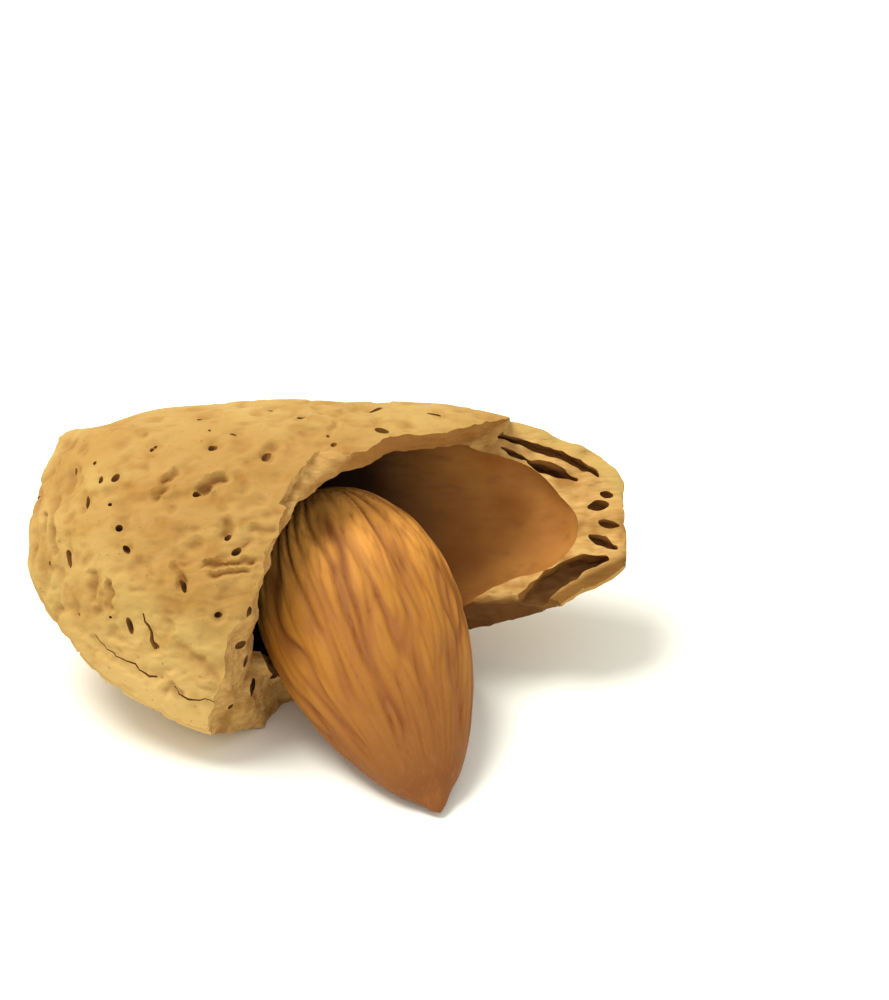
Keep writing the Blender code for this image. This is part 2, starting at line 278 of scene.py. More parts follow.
def new_material(name, roughness, specular):
    material = bpy.data.materials.new(name)
    material.use_nodes = True
    surface = material.node_tree.nodes["Principled BSDF"]
    surface.inputs["Roughness"].default_value = roughness
    surface.inputs["Specular IOR Level"].default_value = specular
    return material, material.node_tree, surface


def grain(tree, place, size, detail=2.0, stretch=(1, 1, 1)):
    """A cloudy pattern of a real size in millimetres, drawn out by a stretch in u, v and w."""
    cell = [size * MM * s for s in stretch]
    spread = add_node(tree, "VectorMath", {"operation": "DIVIDE"}, in_0=place, in_1=cell)
    return add_node(tree, "TexNoise", give="Fac", Vector=spread, Scale=1.0, Detail=detail)


SHELL_ROLL = radians(30)
SHELL_PITCH = radians(1.5)
SHELL_YAW = radians(2)
SHELL_CENTRE = Vector((0, 2.9, 7.85)) * MM


def nut_place(tree):
    """A point's u, v and w, from where it lies in the object."""
    at = add_node(tree, "TexCoord", give="Object")
    return add_node(tree, "Mapping", {"vector_type": "TEXTURE"}, Vector=at, Location=SHELL_CENTRE,
                    Rotation=(SHELL_ROLL, SHELL_PITCH, SHELL_YAW))


# Almond shell skin, dried on the tree: matte, sandy buff on its swellings and warmer brown in its hollows,
# that brown partly its own and partly painted shade.
# It is painted darker where the broad face bulges most, a painted shade, and painted lighter low along the
# keel, a painted light from the floor.
SKIN_PALE = "BA9856"
SKIN_BUFF = "AD8545"
SKIN_BROWN = "8C5E2B"
SKIN, tree, surface = new_material("dry almond shell skin", roughness=0.8, specular=0.15)
place = nut_place(tree)
at = add_node(tree, "SeparateXYZ", Vector=place).node.outputs
patches = grain(tree, place, 4.5, stretch=(1.6, 1, 1))
patches = add_node(tree, "MapRange", Value=patches, From_Min=0.35, From_Max=0.65)
colour = add_node(tree, "Mix", BLEND, 2, Factor=patches, in_6=SKIN_BUFF, in_7=SKIN_PALE)
mottle = grain(tree, place, 1.6, detail=3, stretch=(1.5, 1, 1))
mottle = add_node(tree, "MapRange", Value=mottle, From_Min=0.5, From_Max=0.75)
colour = add_node(tree, "Mix", BLEND, 2, Factor=mottle, in_6=colour, in_7="A47A3A")
# Painted shade: the broad face is darkened where it bulges most.
bulge = add_node(tree, "MapRange", Value=at["Z"], From_Min=4.5 * MM, From_Max=6.5 * MM)
bulge_shade = add_node(tree, "Math", MULTIPLY, in_0=0.35, in_1=bulge)
colour = add_node(tree, "Mix", BLEND, 2, Factor=bulge_shade, in_6=colour, in_7="99692F")
# Painted light: the low side along the keel is lightened, as if lit from the floor.
keelward = add_node(tree, "MapRange", Value=at["Y"], From_Min=-4 * MM, From_Max=-8 * MM)
low = add_node(tree, "MapRange", Value=at["Z"], From_Min=5 * MM, From_Max=2 * MM)
keel_floor_light = add_node(tree, "Math", MULTIPLY, in_0=keelward, in_1=low)
colour = add_node(tree, "Mix", BLEND, 2, Factor=keel_floor_light, in_6=colour, in_7="CBA663")
# Partly painted shade: the dents and marks are browned by their depth, partly the skin's own tint.
hollow_tint_and_shade = add_node(tree, "Attribute", {"attribute_name": "hollow"}, "Fac")
hollow_tint_and_shade = add_node(tree, "MapRange", Value=hollow_tint_and_shade, From_Min=0.08, From_Max=1.4)
colour = add_node(tree, "Mix", BLEND, 2, Factor=hollow_tint_and_shade, in_6=colour, in_7=SKIN_BROWN)
specks = grain(tree, place, 0.3, detail=3)
specks = add_node(tree, "MapRange", Value=specks, From_Min=0.66, From_Max=0.8)
colour = add_node(tree, "Mix", BLEND, 2, Factor=specks, in_6=colour, in_7=SKIN_BROWN)
tree.links.new(colour, surface.inputs["Base Color"])
scurf = grain(tree, place, 0.45, detail=4, stretch=(1.5, 1, 1))
scurf = add_node(tree, "Bump", Height=scurf, Distance=0.09 * MM, Strength=1.0)
tree.links.new(scurf, surface.inputs["Normal"])

# Almond shell wood where it snapped: pale, dull and fibrous. It carries painted shade deep under the seam
# at the tip, and along the keel's lip it is browner wood with painted shade over it; it is darker in the
# crust of the face, and pale again where it meets the skin of the back.
LIP_WAY = (-0.565, 1, 0)       # across the keel's lip, in u, v and w
WOOD, tree, surface = new_material("snapped almond shell wood", roughness=0.9, specular=0.1)
place = nut_place(tree)
at = add_node(tree, "SeparateXYZ", Vector=place).node.outputs
fibres = grain(tree, place, 0.35, detail=4, stretch=(4, 1, 1))
fibres = add_node(tree, "MapRange", Value=fibres, From_Min=0.35, From_Max=0.75)
colour = add_node(tree, "Mix", BLEND, 2, Factor=fibres, in_6="C79F5E", in_7="AE8146")
stains = add_node(tree, "MapRange", Value=grain(tree, place, 1.8), From_Min=0.5, From_Max=0.7)
colour = add_node(tree, "Mix", BLEND, 2, Factor=stains, in_6=colour, in_7="9E7038")
tipward = add_node(tree, "MapRange", Value=at["X"], From_Min=3 * MM, From_Max=8 * MM)
low = add_node(tree, "MapRange", Value=at["Z"], From_Min=-0.3 * MM, From_Max=-1.3 * MM)
# Painted shade: the wood deep under the seam at the tip is darkened.
under_seam_shade = add_node(tree, "Math", MULTIPLY, in_0=tipward, in_1=low)
colour = add_node(tree, "Mix", BLEND, 2, Factor=under_seam_shade, in_6=colour, in_7="6B4420")
# The keel's lip is a browner wood, and painted shade darkens it further.
across_lip = add_node(tree, "VectorMath", {"operation": "DOT_PRODUCT"}, "Value", in_0=place, in_1=LIP_WAY)
beyond = add_node(tree, "MapRange", Value=across_lip, From_Min=-9.5 * MM, From_Max=-10.1 * MM)
lip_tone_and_shade = add_node(tree, "Math", MULTIPLY, in_0=tipward, in_1=beyond)
colour = add_node(tree, "Mix", BLEND, 2, Factor=lip_tone_and_shade, in_6=colour, in_7="7C5526")
middle = add_node(tree, "MapRange", Value=at["X"], From_Min=-1 * MM, From_Max=3 * MM)
high = add_node(tree, "MapRange", Value=at["Z"], From_Min=0.4 * MM, From_Max=1.6 * MM)
crust = add_node(tree, "Math", MULTIPLY, in_0=middle, in_1=high)
colour = add_node(tree, "Mix", BLEND, 2, Factor=crust, in_6=colour, in_7="9A6C36")
skinward = add_node(tree, "Attribute", {"attribute_name": "skinward"}, "Fac")
colour = add_node(tree, "Mix", BLEND, 2, Factor=skinward, in_6=colour, in_7=SKIN_PALE)
tree.links.new(colour, surface.inputs["Base Color"])
fuzz = add_node(tree, "Bump", Height=fibres, Distance=0.06 * MM, Strength=1.0)
tree.links.new(fuzz, surface.inputs["Normal"])

# The lining of the hollow: the same wood with a thin brown film, smooth and nearly dull, and darkest where
# it lies furthest in towards the stem, a darkening that is painted shade.
LINING, tree, surface = new_material("almond shell lining", roughness=0.65, specular=0.15)
place = nut_place(tree)
cloud = grain(tree, place, 3.0, detail=3, stretch=(1.6, 1, 1))
cloud = add_node(tree, "MapRange", Value=cloud, From_Min=0.3, From_Max=0.7)
colour = add_node(tree, "Mix", BLEND, 2, Factor=cloud, in_6="9E642B", in_7="B67D3C")
veins = grain(tree, place, 0.9, stretch=(3, 1, 1))
veins = add_node(tree, "MapRange", Value=veins, From_Min=0.55, From_Max=0.85)
colour = add_node(tree, "Mix", BLEND, 2, Factor=veins, in_6=colour, in_7="94602C")
# Painted shade: the lining darkens towards the stem, deep under the roof.
inmost_shade = add_node(tree, "SeparateXYZ", give="X", Vector=place)
inmost_shade = add_node(tree, "MapRange", Value=inmost_shade, From_Min=10 * MM, From_Max=2.5 * MM)
colour = add_node(tree, "Mix", BLEND, 2, Factor=inmost_shade, in_6=colour, in_7="2C190C")
tree.links.new(colour, surface.inputs["Base Color"])
film = grain(tree, place, 0.8, detail=3, stretch=(2, 1, 1))
film = add_node(tree, "Bump", Height=film, Distance=0.05 * MM, Strength=1.0)
tree.links.new(film, surface.inputs["Normal"])

# The walls of the pits and splits: raw wood, with painted shade that darkens it from the skin's brown the
# deeper it lies.
PIT_WOOD_SHADED, tree, surface = new_material("almond shell pit wood with painted shade", roughness=0.9, specular=0.1)
grey = grain(tree, nut_place(tree), 0.4, detail=3, stretch=(2, 1, 1))
grey = add_node(tree, "MapRange", Value=grey, From_Min=0.35, From_Max=0.7)
deep = add_node(tree, "Mix", BLEND, 2, Factor=grey, in_6="603E1F", in_7="7A5530")
# Painted shade: the deeper a point lies in a pit, split, channel or crack, the darker it is painted.
sunk = add_node(tree, "Attribute", {"attribute_name": "sunk"}, "Fac")
colour = add_node(tree, "Mix", BLEND, 2, Factor=sunk, in_6=SKIN_BROWN, in_7=deep)
tree.links.new(colour, surface.inputs["Base Color"])

LUMP_SIZE = 2.6 * MM
LUMP_STRETCH = 2.0
LUMP_HEIGHT = 0.28 * MM
DENT_SIZE = 1.0 * MM
DENT_STRETCH = 1.5
DENT_BEND = 0.7                # how far the dents wander, as a share of their size
DENT_DEPTH = 0.33 * MM
WRINKLE_SIZE = 0.5 * MM
WRINKLE_STRETCH = 2.0
WRINKLE_DEPTH = 0.11 * MM
FOLD_SIZE = 0.55 * MM          # folds that run round the stem end, nearer it than STEM_FOLDS
FOLD_STRETCH = 4.0
FOLD_DEPTH = 0.3 * MM
FOLD_FADE = 1.5 * MM
STEM_FOLDS = -14.6 * MM
FULL_HOLLOW_SHADE = 0.4 * MM         # a dent of this depth has the full brown of a hollow, part tint and part painted shade
WANDER_SIZE = 0.7 * MM         # how the marks wander from the straight
WANDER = 0.27 * MM
MARK_EDGE = 0.62               # where a mark fades, as a share of its width
PUCKER = 0.22                  # height of the rim round a mark, as a share of its depth
PUCKER_PLACE = 1.9             # the middle of that rim and its breadth, counted in fading widths
PUCKER_BREADTH = 0.6
DIMPLE_WIDTH = 0.6             # the dimple that a pit lies in, from the pit's width, length and depth
DIMPLE_DEPTH = 0.3
SEAM_LINE_HALF_WIDTH = 0.25 * MM
SEAM_LINE_DEPTH = 0.16 * MM

# Pits of the broad face beside the break: (u, v), width, length and depth in millimetres, and the lean
# from u in degrees.
FACE_PITS = [
    (-6.9, 5.1, 0.50, 0.66, 0.9, 45), (-7.9, 1.7, 0.50, 0.64, 0.9, 35),
    (-3.6, 4.4, 0.55, 0.95, 0.6, 60), (-12.6, 0.0, 0.48, 0.50, 0.9, 0),
    (-12.2, -1.5, 0.42, 0.62, 0.8, -55), (-14.7, 2.3, 0.34, 0.80, 0.7, 85),
    (-15.5, 5.0, 0.28, 0.50, 0.5, 80), (-13.8, 3.6, 0.32, 0.48, 0.6, 80),
    (-12.9, 3.5, 0.46, 0.66, 0.6, 50), (-13.2, 1.7, 0.26, 0.28, 0.5, 0),
    (-6.1, -1.2, 0.48, 0.70, 0.8, 80), (-5.4, -2.3, 0.44, 0.72, 0.8, 35),
    (-8.8, -4.1, 0.42, 0.95, 0.9, 108), (-6.6, -6.0, 0.42, 0.50, 0.8, 10),
    (-12.0, -5.7, 0.46, 1.10, 0.6, 85), (-15.8, -1.0, 0.40, 1.30, 0.5, 88),
    (-10.7, 5.3, 0.28, 0.36, 0.5, 60), (-10.4, 5.5, 0.24, 0.34, 0.4, 40),
    (-1.5, 7.8, 0.34, 0.62, 0.5, 25), (-3.4, 8.6, 0.30, 0.50, 0.5, 10),
    (-7.7, 7.9, 0.28, 0.42, 0.4, 25), (-5.7, 6.3, 0.24, 0.60, 0.3, 0), (-7.1, 6.5, 0.18, 0.20, 0.3, 0),
    (-14.2, 4.9, 0.20, 0.26, 0.3, 0), (-17.1, -0.7, 0.26, 0.46, 0.3, 60),
    (-13.2, -5.0, 0.18, 0.20, 0.3, 0), (-15.2, -4.3, 0.22, 0.36, 0.3, -30),
    (-8.4, -10.9, 0.22, 0.30, 0.3, 0), (0.2, 6.1, 0.24, 0.30, 0.3, 60), (0.5, 5.3, 0.34, 0.42, 0.4, 30),
    (-10.4, -7.0, 0.34, 0.50, 0.5, -50),
]
# Fine cracks of the same face: each is a line of (u, v), its width at each end and its depth, in mm.
FACE_CRACKS = [
    ([(-14.2, -5.6), (-13.5, -6.4), (-12.8, -7.0), (-12.1, -7.5), (-11.3, -8.0), (-10.4, -8.6)],
     0.10, 0.22, 0.4),
    ([(-9.4, -9.2), (-8.9, -9.6), (-8.0, -9.9), (-6.9, -10.2)], 0.30, 0.14, 0.4),
    ([(-11.2, -5.3), (-10.9, -5.9), (-10.7, -6.4), (-10.4, -7.1)], 0.14, 0.34, 0.4),
]
CRACK_GROOVE = (0.42, 0.16)    # width and depth of the soft groove that a crack lies in
CRACK_STEP = 0.35              # from point to point of a crack, in millimetres
CRACK_WAVER = 0.09             # and how far each may stray
CRACK_LIFT = 0.25 * MM         # the cutter stands this far out of the skin
PIT_TILT = radians(28)         # how far the shaft of a pit leans back along its length
FACE_PIT_SIDE = 0.3            # the broad face is where the skin faces out along w by more than this
SCATTERED_PITS = 64
SCATTERED_WIDTHS = (0.26, 0.52)        # the least and the most of each size, in millimetres
SCATTERED_LENGTHS = (0.4, 1.1)
SCATTERED_DEPTHS = (0.4, 0.9)
PIT_SHADE_FROM = 0.6           # the painted shade is full from this depth, in millimetres
PIT_SPACING = 2.6 * MM
SEED = 7
noise.seed_set(SEED)           # unseeded, noise_vector would give another shape in each run

# Shallow marks of the same face: from (u, v) to (u, v), width and depth in millimetres.
FACE_MARKS = [
    (-7.7, 1.8, -6.3, 2.6, 0.44, 0.55), (-5.4, -2.3, -4.7, -1.8, 0.42, 0.24),
    (-6.1, -1.2, -6.1, -0.6, 0.55, 0.40), (-9.1, -3.0, -8.8, -4.0, 0.42, 0.50),
    (-9.1, -1.9, -9.1, -3.0, 0.35, 0.14), (-15.7, 0.4, -15.7, -0.6, 0.40, 0.22),
    (-7.4, -3.1, -4.5, -3.0, 0.28, 0.36), (-7.1, -3.8, -4.9, -3.6, 0.28, 0.26),
    (-4.4, -1.1, -3.1, -1.1, 0.45, 0.22), (-12.8, 1.6, -10.6, 1.5, 0.55, 0.18),
    (-10.0, 2.6, -9.2, 3.2, 0.36, 0.38), (-10.4, 1.7, -9.9, 2.1, 0.40, 0.42),
    (-9.6, 0.8, -9.5, 0.7, 0.50, 0.20), (-12.5, 6.1, -12.3, 6.3, 0.60, 0.20),
    (-11.3, 6.5, -11.1, 6.6, 0.45, 0.18), (-12.2, 7.2, -11.7, 7.5, 0.35, 0.14),
    (-10.9, 4.6, -10.7, 4.7, 0.45, 0.18), (-10.7, 5.3, -10.3, 5.6, 0.50, 0.20),
    (-9.1, -1.0, -8.9, -1.0, 0.60, 0.26), (-8.2, -1.9, -7.8, -1.8, 0.50, 0.24),
    (-6.8, 1.1, -6.7, 1.3, 0.50, 0.16), (-5.0, 2.3, -5.0, 1.5, 0.55, 0.20),
    (-4.2, 1.2, -3.7, 0.9, 0.50, 0.22), (-3.2, 0.5, -2.9, 0.2, 0.45, 0.18),
    (-2.1, 1.5, -2.0, 1.6, 0.45, 0.18), (-4.7, 3.8, -4.5, 3.9, 0.60, 0.20),
    (-3.7, 4.2, -3.2, 5.0, 0.60, 0.40), (-6.0, 6.3, -5.4, 6.3, 0.40, 0.16),
    (-8.4, 3.8, -8.3, 3.9, 0.40, 0.12), (-14.3, -2.4, -14.3, -3.8, 0.30, 0.36),
    (-13.2, -3.3, -13.2, -4.6, 0.28, 0.32), (-14.6, -1.4, -14.5, -1.5, 0.45, 0.18),
    (-13.9, -2.4, -14.2, -2.4, 0.35, 0.18), (-10.7, -2.5, -10.7, -3.2, 0.42, 0.18),
    (-8.9, -7.3, -7.9, -8.1, 0.60, 0.26), (-7.9, -8.1, -6.7, -9.0, 0.60, 0.26),
    (-9.6, -9.1, -9.0, -9.5, 0.50, 0.26), (-17.3, 2.4, -17.3, 1.3, 0.24, 0.30),
    (-16.8, 2.0, -16.8, -0.3, 0.24, 0.32), (-16.6, 7.0, -16.6, 6.0, 0.26, 0.24),
    (0.7, 7.2, 0.2, 6.2, 0.30, 0.14), (-7.6, 8.0, -7.0, 8.4, 0.30, 0.12),
    (-12.9, -0.9, -12.4, -2.0, 0.9, 0.12), (-6.0, -4.4, -5.5, -4.4, 0.50, 0.14),
    (-10.2, -0.2, -9.9, -0.5, 0.7, 0.14), (-11.7, 0.6, -11.5, -0.6, 0.6, 0.12),
    (-7.3, -6.8, -6.5, -7.2, 0.8, 0.16), (-9.6, -5.0, -9.0, -5.6, 0.8, 0.14),
    (-3.6, 2.4, -3.2, 2.6, 0.7, 0.14),
]


def lumps(point):
    """Height of the low lumps of the skin, drawn out along the nut."""
    place = Vector((point.x / LUMP_STRETCH, point.y, point.z)) / LUMP_SIZE
    return LUMP_HEIGHT * noise.noise(place)


def dents(point):
    """Depth in metres of the soft dents all over, and of the folds that run round the stem end."""
    place = Vector((point.x / DENT_STRETCH, point.y, point.z)) / DENT_SIZE
    bend = noise.noise_vector(place * 0.45) * DENT_BEND
    soft = noise.noise(place + bend) + 0.35 * noise.noise(place * 2.3 + bend)
    depth = DENT_DEPTH * max(0.0, soft - 0.05)
    drawn_out = Vector((point.x / WRINKLE_STRETCH, point.y, point.z)) / WRINKLE_SIZE
    depth += WRINKLE_DEPTH * max(0.0, noise.noise(drawn_out + bend))
    near_stem = min(1.0, max(0.0, (STEM_FOLDS - point.x) / FOLD_FADE))
    round_stem = Vector((point.x, point.y / FOLD_STRETCH, point.z / FOLD_STRETCH)) / FOLD_SIZE
    return depth + near_stem * FOLD_DEPTH * max(0.0, noise.noise(round_stem + bend * 0.5) + 0.05)


def mark_depth(points):
    """Depth in metres of the shallow marks, with the skin puckered up round them. The hidden face has the
    same marks, turned half round."""
    u, v, w = points.T / MM
    hidden = w < 0
    turned = np.where(hidden, -np.abs(u), u), np.where(hidden, v * np.sign(u), v)
    places = np.column_stack(turned) * MM
    drift = np.array([noise.noise_vector(Vector(point) / WANDER_SIZE) for point in points])
    places += drift[:, :2] * WANDER
    lines = [(start, end) for line, *_ in FACE_CRACKS for start, end in zip(line, line[1:])]
    marks = FACE_MARKS + [(*start, *end, *CRACK_GROOVE) for start, end in lines]
    for u0, v0, width, length, deep, _ in FACE_PITS:
        marks.append((u0, v0, u0, v0, DIMPLE_WIDTH * (width + length), DIMPLE_DEPTH * deep))
    depth, pucker = np.zeros(len(points)), np.zeros(len(points))
    for u0, v0, u1, v1, width, deep in marks:
        start = np.array((u0, v0)) * MM
        run = np.array((u1, v1)) * MM - start
        along = np.clip(((places - start) @ run) / max(run @ run, 1e-12), 0, 1)
        off = np.hypot(*(places - start - along[:, None] * run).T) / (width * MM * MARK_EDGE)
        rim = np.exp(-((off - PUCKER_PLACE) / PUCKER_BREADTH) ** 2)
        depth = np.maximum(depth, deep * MM * np.exp(-off ** 2))
        pucker = np.maximum(pucker, PUCKER * deep * MM * rim)
    depth = depth * (1 + 0.5 * drift[:, 2]) - pucker
    depth *= np.clip(np.abs(w), 0, 1) * np.where(hidden, np.clip(np.abs(u), 0, 1), 1)
    return depth + SEAM_LINE_DEPTH * np.exp(-(points[:, 2] / SEAM_LINE_HALF_WIDTH) ** 2)


def face_point(points, normals, u, v):
    """The point of the broad face's skin nearest to a (u, v) in millimetres."""
    offsets = np.hypot(points[:, 0] - u * MM, points[:, 1] - v * MM)
    offsets[normals[:, 2] < 0] = np.inf
    return int(np.argmin(offsets))


def pit_places(points, normals):
    """Where the pits lie, which way they face, and their shapes: first those given, then scattered ones.
    Those keep off the broad face beside the break, which has its own."""
    draw = np.random.default_rng(SEED)
    chosen, shapes = [], []
    for u, v, width, length, depth, lean in FACE_PITS:
        chosen.append(face_point(points, normals, u, v))
        shapes.append((width, length, depth, radians(lean)))
    wanted = len(chosen) + SCATTERED_PITS
    for index in draw.permutation(len(points)):
        if len(chosen) == wanted:
            break
        on_given_face = normals[index, 2] > FACE_PIT_SIDE and points[index, 0] < 0
        apart = all(np.linalg.norm(points[index] - points[other]) > PIT_SPACING for other in chosen)
        if apart and not on_given_face:
            chosen.append(int(index))
            size = [draw.uniform(*s) for s in (SCATTERED_WIDTHS, SCATTERED_LENGTHS, SCATTERED_DEPTHS)]
            shapes.append((*size, draw.uniform(0, pi)))
    return [(Vector(points[i]), Vector(normals[i]), shape) for i, shape in zip(chosen, shapes)]


def pit_cutter(places):
    """A slim ball for each pit, sunk into the skin, longer one way where the pit is a slit."""
    pits = []
    for point, normal, (width, length, depth, lean) in places:
        run = Vector((cos(lean), sin(lean), 0))
        flat = (run - normal * run.dot(normal)).normalized()
        shaft = normal * cos(PIT_TILT) + flat * sin(PIT_TILT)
        along = flat * cos(PIT_TILT) - normal * sin(PIT_TILT)
        turn = Matrix((along, shaft.cross(along), shaft)).transposed().to_4x4()
        bpy.ops.object.select_all(action="DESELECT")
        bpy.ops.mesh.primitive_ico_sphere_add(subdivisions=3, radius=1)
        pit = bpy.context.object
        pit.data.materials.append(PIT_WOOD_SHADED)
        # The pit's wall is painted darker with depth, a painted shade.
        mark_points(pit, "sunk", np.clip(-read_points(pit)[:, 2] * depth / PIT_SHADE_FROM, 0, 1))
        size = Matrix.Diagonal((length / 2 * MM, width / 2 * MM, depth * MM, 1))
        pit.data.transform(Matrix.Translation(point) @ turn @ size)
        pits.append(pit)
    return join(pits)


def crack_cutter(points, normals):
    """A thin wedge along each crack, its sharp edge down in the wall."""
    draw = np.random.default_rng(SEED)
    cracks = []
    for line, first, last, depth in FACE_CRACKS:
        run = np.hypot(*np.diff(line, axis=0).T).sum()
        steps = np.linspace(0, len(line) - 1, max(3, round(run / CRACK_STEP)))
        path = np.column_stack([np.interp(steps, range(len(line)), side) for side in zip(*line)])
        path += draw.uniform(-CRACK_WAVER, CRACK_WAVER, path.shape)
        found = list(dict.fromkeys(face_point(points, normals, u, v) for u, v in path))
        middle, up = points[found], normals[found]
        side = np.cross(up, np.gradient(middle, axis=0))
        side /= np.linalg.norm(side, axis=1)[:, None]
        half = np.linspace(first, last, len(found)) / 2 * MM * (1 + CRACK_LIFT / (depth * MM))
        top = middle + up * CRACK_LIFT
        spread = side * half[:, None]
        rings = np.stack((top + spread, top - spread, middle - up * depth * MM), axis=1)
        faces = [(0, 1, 2), tuple(3 * len(found) - n for n in (1, 2, 3))]
        for ring in range(0, 3 * len(found) - 3, 3):
            for a, b in ((0, 1), (1, 2), (2, 0)):
                faces.append((ring + a, ring + a + 3, ring + b + 3, ring + b))
        crack = add_mesh("crack", rings.reshape(-1, 3).tolist(), faces, PIT_WOOD_SHADED)
        # The crack's floor takes the full painted shade.
        mark_points(crack, "sunk", np.tile((0, 0, 1), len(found)))
        cracks.append(crack)
    return join(cracks)


# Where the broad face broke off, as (u, v) in millimetres, from the keel up to the back of the seam.
BREAK_LINE = [
    (-8.2, -14.0), (-7.0, -11.4), (-6.2, -10.6), (-5.6, -9.4), (-5.0, -7.5), (-4.4, -5.4), (-3.4, -1.7),
    (-1.6, 1.8), (0.9, 4.0), (4.7, 6.2), (7.8, 6.9), (11.6, 9.3), (12.6, 12.5),
]
# Where the keel snapped out below it: the kernel lies across this gap.
KEEL_BREAK = [
    (-7.6, -15.0), (-7.2, -11.2), (-6.2, -10.0), (-5.0, -9.2), (-4.2, -7.2), (1.5, -3.6), (5.5, -2.5),
    (8.6, -2.0), (11.7, -2.0), (14.2, -2.2), (15.3, -3.9), (16.5, -15.0),
]
KEEL_BREAK_SLANT = 0.35        # it slants stemwards by this share of the height
# Where the outer crust alone flaked off behind the break line, down to a height over the seam.
FLAKE = [(-3.0, 0.6), (-2.1, 2.7), (-1.2, 3.6), (-0.6, 4.7), (0.6, 5.3), (1.8, 5.3), (3.5, 4.0), (0, 1)]
FLAKE_FLOOR = 6.6 * MM
PAST_NUT = 21.5                # in millimetres along u, past the tip
TIP_BREAK = 18.9               # and where the tip snapped off
TIP_BREAK_SIDES = (-4, 11)     # from here to here in v
PAST_FACE = 9 * MM             # the blocks that cut stand this far out on either side
BREAK_CELL = 0.22 * MM
SPLINTER_SIZE = 1.6 * MM
SPLINTER_REACH = 0.3 * MM
FIBRE_SIZE = 0.45 * MM
FIBRE_STRETCH = 3.0
FIBRE_REACH = 0.085 * MM


def even_out(cutter, cell):
    """Makes a joined cutter one closed mesh of even cells."""
    grid = cutter.modifiers.new("grid", "REMESH")
    grid.mode = "VOXEL"
    grid.voxel_size = cell
    bpy.ops.object.modifier_apply(modifier=grid.name)


def splinter(cutter):
    """Roughens a cutter, so that what it cuts looks snapped and not sawn, with fibres along the nut."""
    points = read_points(cutter)
    for index, point in enumerate(points):
        place = Vector(point) / SPLINTER_SIZE
        shift = noise.noise_vector(place) + 0.5 * noise.noise_vector(place * 2.3)
        fibre = Vector((point[0] / FIBRE_STRETCH, point[1], point[2])) / FIBRE_SIZE
        fine = noise.noise_vector(fibre) + 0.6 * noise.noise_vector(fibre * 2.2)
        points[index] += shift * SPLINTER_REACH + fine * FIBRE_REACH
    write_points(cutter, points)


def break_cutter():
    """All that broke off: the broad face beyond the break line, down to the seam, and the tip."""
    edge = [*BREAK_LINE, (PAST_NUT, BREAK_LINE[-1][1]), (PAST_NUT, BREAK_LINE[0][1])]
    front = add_block("front", edge, 0, PAST_FACE, WOOD)
    keel = add_block("keel", KEEL_BREAK, -PAST_FACE, PAST_FACE, WOOD)
    points = read_points(keel)
    points[:, 0] -= KEEL_BREAK_SLANT * points[:, 2]
    write_points(keel, points)
    low, high = TIP_BREAK_SIDES
    beyond = [(TIP_BREAK, low), (PAST_NUT, low), (PAST_NUT, high), (TIP_BREAK, high)]
    tip = add_block("tip", beyond, -PAST_FACE, PAST_FACE, WOOD)
    flake = add_block("flake", FLAKE, FLAKE_FLOOR, PAST_FACE, WOOD)
    cutter = join([front, keel, tip, flake])
    even_out(cutter, BREAK_CELL)
    splinter(cutter)
    return cutter


# Sap channels that show in the broken wall: (u, v, w) of the mouth, and sizes along those, in millimetres.
CHANNELS = [
    (-5.3, -6.9, 3.6, 1.0, 0.6, 0.7), (-4.9, -7.2, 1.9, 0.9, 0.9, 0.8), (-4.6, -7.7, -0.4, 0.6, 1.9, 1.0),
    (-3.2, -6.6, -1.5, 0.7, 0.8, 0.8), (-5.9, -9.6, 0.4, 0.5, 0.4, 0.5), (-4.7, -5.9, 6.0, 0.4, 1.3, 0.9),
]


def channel_cutter():
    """A slim ball for each channel."""
    channels = []
    for *place, along, across, through in CHANNELS:
        size = np.array((along, across, through)) / 2 * MM
        channel = add_ball("channel", 3, lambda directions: directions * size, PIT_WOOD_SHADED)
        channel.data.transform(Matrix.Translation(Vector(place) * MM))
        # The channel's wall takes the full painted shade.
        mark_points(channel, "sunk", np.ones(len(channel.data.vertices)))
        channels.append(channel)
    return join(channels)


# Splits in the bare face of the seam: each is a line of (u, v), a width and a depth, all in millimetres.
SEAM_SPLITS = [
    ([(17.7, 0.6), (16.1, 0.2), (14.3, -0.9), (12.9, -2.0), (11.5, -2.9)], 1.5, 1.2),
    ([(10.6, 9.0), (12.7, 8.5), (14.7, 7.75), (16.4, 6.85), (17.3, 6.1)], 0.6, 0.9),
    ([(12.8, 7.1), (13.4, 6.9), (14.2, 6.6), (15.0, 6.3), (15.9, 5.9)], 0.8, 1.4),
    ([(11.1, 8.2), (11.9, 7.8), (12.8, 7.2)], 0.4, 0.7),
    ([(16.4, 4.2), (17.1, 4.2), (17.8, 4.1)], 0.7, 0.8),
    ([(17.1, 2.9), (17.8, 2.9), (18.5, 2.8)], 0.5, 0.7),
    ([(16.5, 2.1), (17.4, 1.7), (18.3, 1.2)], 0.7, 0.8),
    ([(17.3, 5.1), (17.7, 5.0), (18.1, 4.8)], 0.5, 0.7),
]
SPLIT_END = 0.3                # the width left at each end, as a share
SPLIT_TOP = 0.6 * MM           # the cutter stands this far over the seam
SPLIT_CELL = 0.12 * MM
SPLIT_FIBRE_SIZE = 0.5 * MM
SPLIT_FIBRE_STRETCH = 2.5
SPLIT_FIBRE_REACH = 0.18 * MM
SPLIT_SHADE_FROM = 1.6 * MM    # the painted shade is full from this depth


